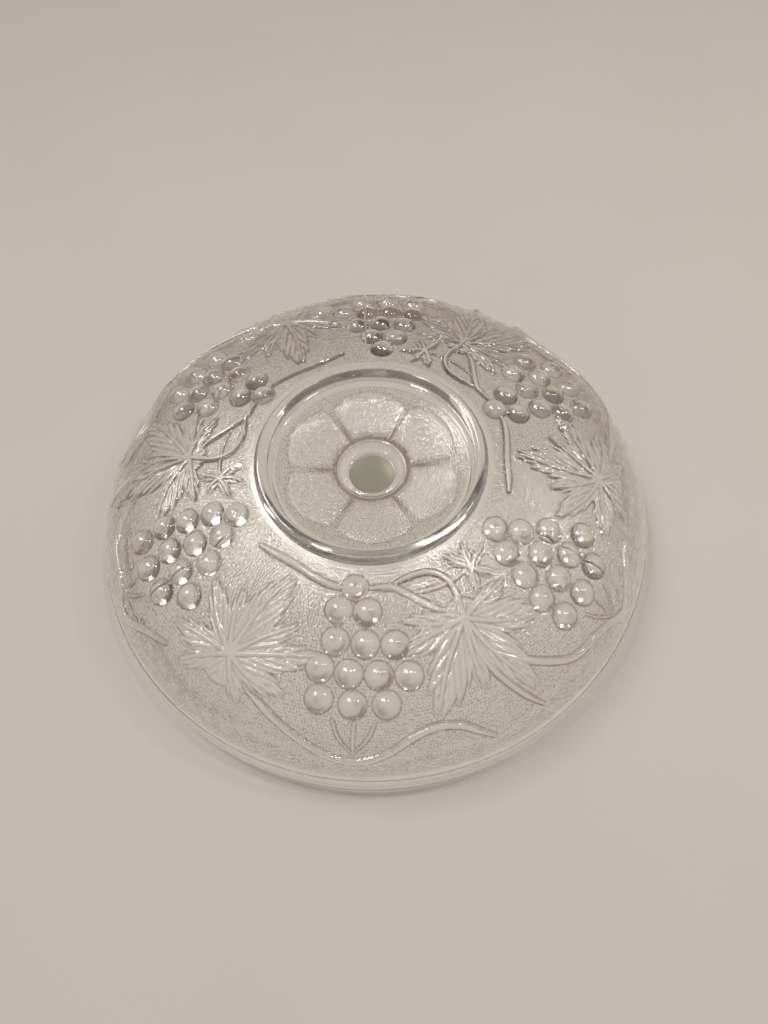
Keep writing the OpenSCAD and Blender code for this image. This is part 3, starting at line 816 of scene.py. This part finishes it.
def glass(name, tint, rough, wave, grain, coat):
    """Pressed glass: soft waves left by the mould and a fine grain, both in mm, a roughness that varies a
    little, and a coat for shine. The attribute "hollow" is painted shade: it darkens the glass colour in
    creases, in place of the light that real glass bends away there."""
    material, nodes, links, shader = new_material(name)
    crease = nodes.new("ShaderNodeAttribute")
    crease.attribute_name = "hollow"
    shade = nodes.new("ShaderNodeMix")
    shade.data_type = "RGBA"
    shade.inputs["A"].default_value = (*tint, 1)
    shade.inputs["B"].default_value = (*CREASE_SHADE_COLOUR, 1)
    links.new(crease.outputs["Fac"], shade.inputs["Factor"])
    links.new(shade.outputs["Result"], shader.inputs["Base Color"])
    shader.inputs["Transmission Weight"].default_value = 1.0
    shader.inputs["IOR"].default_value = GLASS_IOR
    shader.inputs["Coat Weight"].default_value = coat
    shader.inputs["Coat IOR"].default_value = COAT_IOR
    shader.inputs["Coat Roughness"].default_value = COAT_ROUGHNESS
    spread = nodes.new("ShaderNodeMapRange")
    spread.inputs["To Min"].default_value = rough[0]
    spread.inputs["To Max"].default_value = rough[1]
    links.new(noise(nodes, links, 60, 3).outputs["Fac"], spread.inputs["Value"])
    links.new(spread.outputs["Result"], shader.inputs["Roughness"])
    waves = nodes.new("ShaderNodeBump")
    waves.inputs["Distance"].default_value = wave * MM
    links.new(noise(nodes, links, 45, 1).outputs["Fac"], waves.inputs["Height"])
    fine = nodes.new("ShaderNodeBump")
    fine.inputs["Distance"].default_value = grain * MM
    links.new(noise(nodes, links, GRAIN_SCALE, 2).outputs["Fac"], fine.inputs["Height"])
    links.new(waves.outputs["Normal"], fine.inputs["Normal"])
    links.new(fine.outputs["Normal"], shader.inputs["Normal"])
    let_lamps_through(nodes, links, shader)
    return material


def let_lamps_through(nodes, links, shader):
    """Light on its way to a surface goes straight through the glass, dimmed where it only grazes it."""
    path = nodes.new("ShaderNodeLightPath")
    either = nodes.new("ShaderNodeMath")
    either.operation = "MAXIMUM"
    links.new(path.outputs["Is Shadow Ray"], either.inputs[0])
    links.new(path.outputs["Is Diffuse Ray"], either.inputs[1])
    graze = nodes.new("ShaderNodeLayerWeight")
    dim = nodes.new("ShaderNodeValToRGB")
    dim.color_ramp.elements[0].position = 0.45
    dim.color_ramp.elements[0].color = (0.985, 0.985, 0.98, 1)
    dim.color_ramp.elements[1].position = 0.92
    dim.color_ramp.elements[1].color = (0.36, 0.34, 0.32, 1)
    links.new(graze.outputs["Facing"], dim.inputs["Fac"])
    straight = nodes.new("ShaderNodeBsdfTransparent")
    links.new(dim.outputs["Color"], straight.inputs["Color"])
    mix = nodes.new("ShaderNodeMixShader")
    links.new(either.outputs["Value"], mix.inputs[0])
    links.new(shader.outputs[0], mix.inputs[1])
    links.new(straight.outputs[0], mix.inputs[2])
    links.new(mix.outputs[0], nodes["Material Output"].inputs["Surface"])


def inside_material():
    """For faces inside the glass, where two pieces meet: nothing to see."""
    material, _, _, shader = new_material("glass_inside")
    shader.inputs["Alpha"].default_value = 0.0
    return material


def card_material():
    """Pale card: faint mottling and a very fine tooth."""
    material, nodes, links, shader = new_material("pale_card")
    shade = nodes.new("ShaderNodeValToRGB")
    shade.color_ramp.elements[0].color = (0.63, 0.60, 0.555, 1)
    shade.color_ramp.elements[1].color = (0.67, 0.64, 0.595, 1)
    links.new(noise(nodes, links, 9, 4).outputs["Fac"], shade.inputs["Fac"])
    links.new(shade.outputs["Color"], shader.inputs["Base Color"])
    shader.inputs["Roughness"].default_value = 0.6
    tooth = nodes.new("ShaderNodeBump")
    tooth.inputs["Distance"].default_value = 0.02 * MM
    links.new(noise(nodes, links, 1500, 2).outputs["Fac"], tooth.inputs["Height"])
    links.new(tooth.outputs["Normal"], shader.inputs["Normal"])
    return material


# ---------------------------------------------------------------- pieces
def finish_piece(piece, slot, *nodes):
    """Every piece rides on the bowl's one body."""
    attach(piece, "root")
    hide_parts(*nodes)


def build_wall(mats):
    """The wall in six pieces, and the relief of each motif as a piece of its own."""
    surface = wall_surface()
    inside = mats["inside"]
    for k in range(THIRDS):
        for zone, rows in (("slope", (0, SEAM_ROW)), ("shoulder", (SEAM_ROW, WALL_ROWS))):
            solid = wall_solid(surface, k, rows)
            piece = solid.build(f"wall_{zone}_{k + 1}", [mats["stippled"], inside])
            finish_piece(piece, "stippled_glass", f"bowl_wall_{k + 1}")
    for prefix in sorted(set(surface["names"])):
        ids = [i for i, n in enumerate(surface["names"]) if n == prefix]
        mine = np.isin(surface["label"], ids)
        if prefix == "bunch_stalks":
            piece = motif_solid(surface, mine).build(prefix + "_relief", [mats["clear"], inside])
            finish_piece(piece, "clear_glass", prefix)
            continue
        for k in range(THIRDS):
            if prefix.startswith("grape"):
                node = f"grape_bunch_{2 * k + (1 if prefix == 'grape_odd' else 2)}"
            else:
                node = f"{prefix}_{k + 1}"
            solid = motif_solid(surface, mine & (surface["owner"] == k))
            finish_piece(solid.build(node + "_relief", [mats["clear"], inside]), "clear_glass", node)


def build_turned(mats):
    """The rim band, the foot ring, and the base with its flower."""
    inside = mats["inside"]
    profile = band_profile()
    solid = lathe(profile, (len(profile) - 1,))
    nodes = [f"rim_band_{k + 1}" for k in range(THIRDS)]
    finish_piece(solid.build("rim_band_glass", [mats["clear"], inside]), "clear_glass", *nodes)
    profile, cuts = foot_profile()
    solid = lathe(profile, cuts)
    nodes = [f"foot_ring_{k + 1}" for k in range(THIRDS)]
    finish_piece(solid.build("foot_ring_glass", [mats["clear"], inside]), "clear_glass", *nodes)
    surface = floor_surface()
    piece = floor_solid(surface).build("base_floor_glass", [mats["floor"], inside])
    finish_piece(piece, "stippled_glass", "base_floor")
    piece = petal_solid(surface).build("base_petals_relief", [mats["stippled"], inside])
    finish_piece(piece, "stippled_glass", "base_petals")
    piece = hollow_solid().build("base_hollow_glass", [mats["thick"], inside, mats["floor"]])
    finish_piece(piece, "thick_glass", "base_hollow")


# ---------------------------------------------------------------- stage, light and camera
def build_stage():
    bpy.ops.mesh.primitive_circle_add(vertices=96, radius=3.0, fill_type="NGON", location=(0, 0, -0.0002))
    card = bpy.context.object
    card.name = "floor_card"
    card.data.materials.append(card_material())


def build_world():
    """A room as soft light: bright above, warm and darker towards the horizon."""
    world = bpy.data.worlds.new("soft_room")
    bpy.context.scene.world = world
    world.use_nodes = True
    nodes, links = world.node_tree.nodes, world.node_tree.links
    where = nodes.new("ShaderNodeTexCoord")
    split = nodes.new("ShaderNodeSeparateXYZ")
    ramp = nodes.new("ShaderNodeValToRGB")
    ramp.color_ramp.elements[0].position = 0.0
    ramp.color_ramp.elements[0].color = (0.30, 0.225, 0.165, 1)
    ramp.color_ramp.elements[1].position = 1.0
    ramp.color_ramp.elements[1].color = (0.54, 0.52, 0.49, 1)
    for place, colour in ((0.25, (0.27, 0.20, 0.145, 1)), (0.55, (0.37, 0.335, 0.30, 1))):
        ramp.color_ramp.elements.new(place).color = colour
    links.new(where.outputs["Generated"], split.inputs["Vector"])
    links.new(split.outputs["Z"], ramp.inputs["Fac"])
    links.new(ramp.outputs["Color"], nodes["Background"].inputs["Color"])
    nodes["Background"].inputs["Strength"].default_value = 0.8


def add_lamp(name, data, place, aim):
    """A lamp at a place in metres, turned to a point."""
    lamp = bpy.data.objects.new(name, data)
    lamp.location = place
    lamp.rotation_euler = (Vector(aim) - Vector(place)).to_track_quat("-Z", "Y").to_euler()
    bpy.context.scene.collection.objects.link(lamp)


def area_light(name, place, size, power, colour):
    data = bpy.data.lights.new(name, "AREA")
    data.shape = "DISK"
    data.size = size
    data.energy = power
    data.color = colour
    add_lamp(name, data, place, (0, 0, 0.03))


def soft_sun(name, place, power, width_deg, colour):
    """A wide soft key light that is equally strong everywhere."""
    data = bpy.data.lights.new(name, "SUN")
    data.energy = power
    data.angle = math.radians(width_deg)
    data.color = colour
    add_lamp(name, data, place, (0, 0, 0))


def build_lights():
    soft_sun("soft_key", (-0.60, 0.50, 1.10), 0.80, 22, (1.0, 0.965, 0.91))
    area_light("ceiling_left", (-0.30, 0.10, 1.15), 0.11, 1.65, (1.0, 0.97, 0.93))
    area_light("ceiling_right", (0.30, 0.10, 1.15), 0.11, 1.65, (1.0, 0.97, 0.93))
    area_light("side_lamp", (0.70, 0.12, 0.92), 0.13, 1.4, (1.0, 0.96, 0.90))


def build_camera():
    """A phone held in front of the bowl, looking steeply down on it."""
    middle = (CAD_BOX[0] + CAD_BOX[1]) / 2
    data = bpy.data.cameras.new("camera")
    data.lens = 25.5
    data.sensor_width = 36
    camera = bpy.data.objects.new("camera", data)
    bpy.context.scene.collection.objects.link(camera)
    away, look_down, roll = 0.38, math.radians(60.92), math.radians(3.04)
    forward = Vector((0, math.cos(look_down), -math.sin(look_down)))
    aim = Vector((middle.x + 0.00525, middle.y - 0.0205, 0.0412))
    level = forward.to_track_quat("-Z", "Y").to_matrix().to_4x4()
    camera.matrix_world = Matrix.Translation(aim - forward * away) @ level @ Matrix.Rotation(-roll, 4, "Z")
    data.clip_start, data.clip_end = 0.01, 20
    bpy.context.scene.camera = camera


def light_paths():
    """Enough bounces for light that passes many glass surfaces."""
    cycles = bpy.context.scene.cycles
    cycles.max_bounces = 16
    cycles.transmission_bounces = 14
    cycles.glossy_bounces = 6
    cycles.transparent_max_bounces = 64
    cycles.sample_clamp_indirect = 60
    bpy.context.scene.view_settings.view_transform = "Standard"


def main():
    mats = {
        "clear": glass("clear_glass", CLEAR_TINT, (0.0, 0.03), 0.25, 0.01, 1.0),
        "stippled": glass("stippled_glass", CLEAR_TINT, (0.0, 0.04), 0.4, 0.07, 0.25),
        "floor": glass("floor_glass", CLEAR_TINT, (0.0, 0.05), 0.3, 0.05, 0.4),
        "thick": glass("thick_glass", THICK_TINT, (0.12, 0.25), 0.2, 0.03, 0.5),
        "inside": inside_material(),
    }
    build_wall(mats)
    build_turned(mats)
    build_stage()
    build_world()
    build_lights()
    build_camera()
    light_paths()


main()
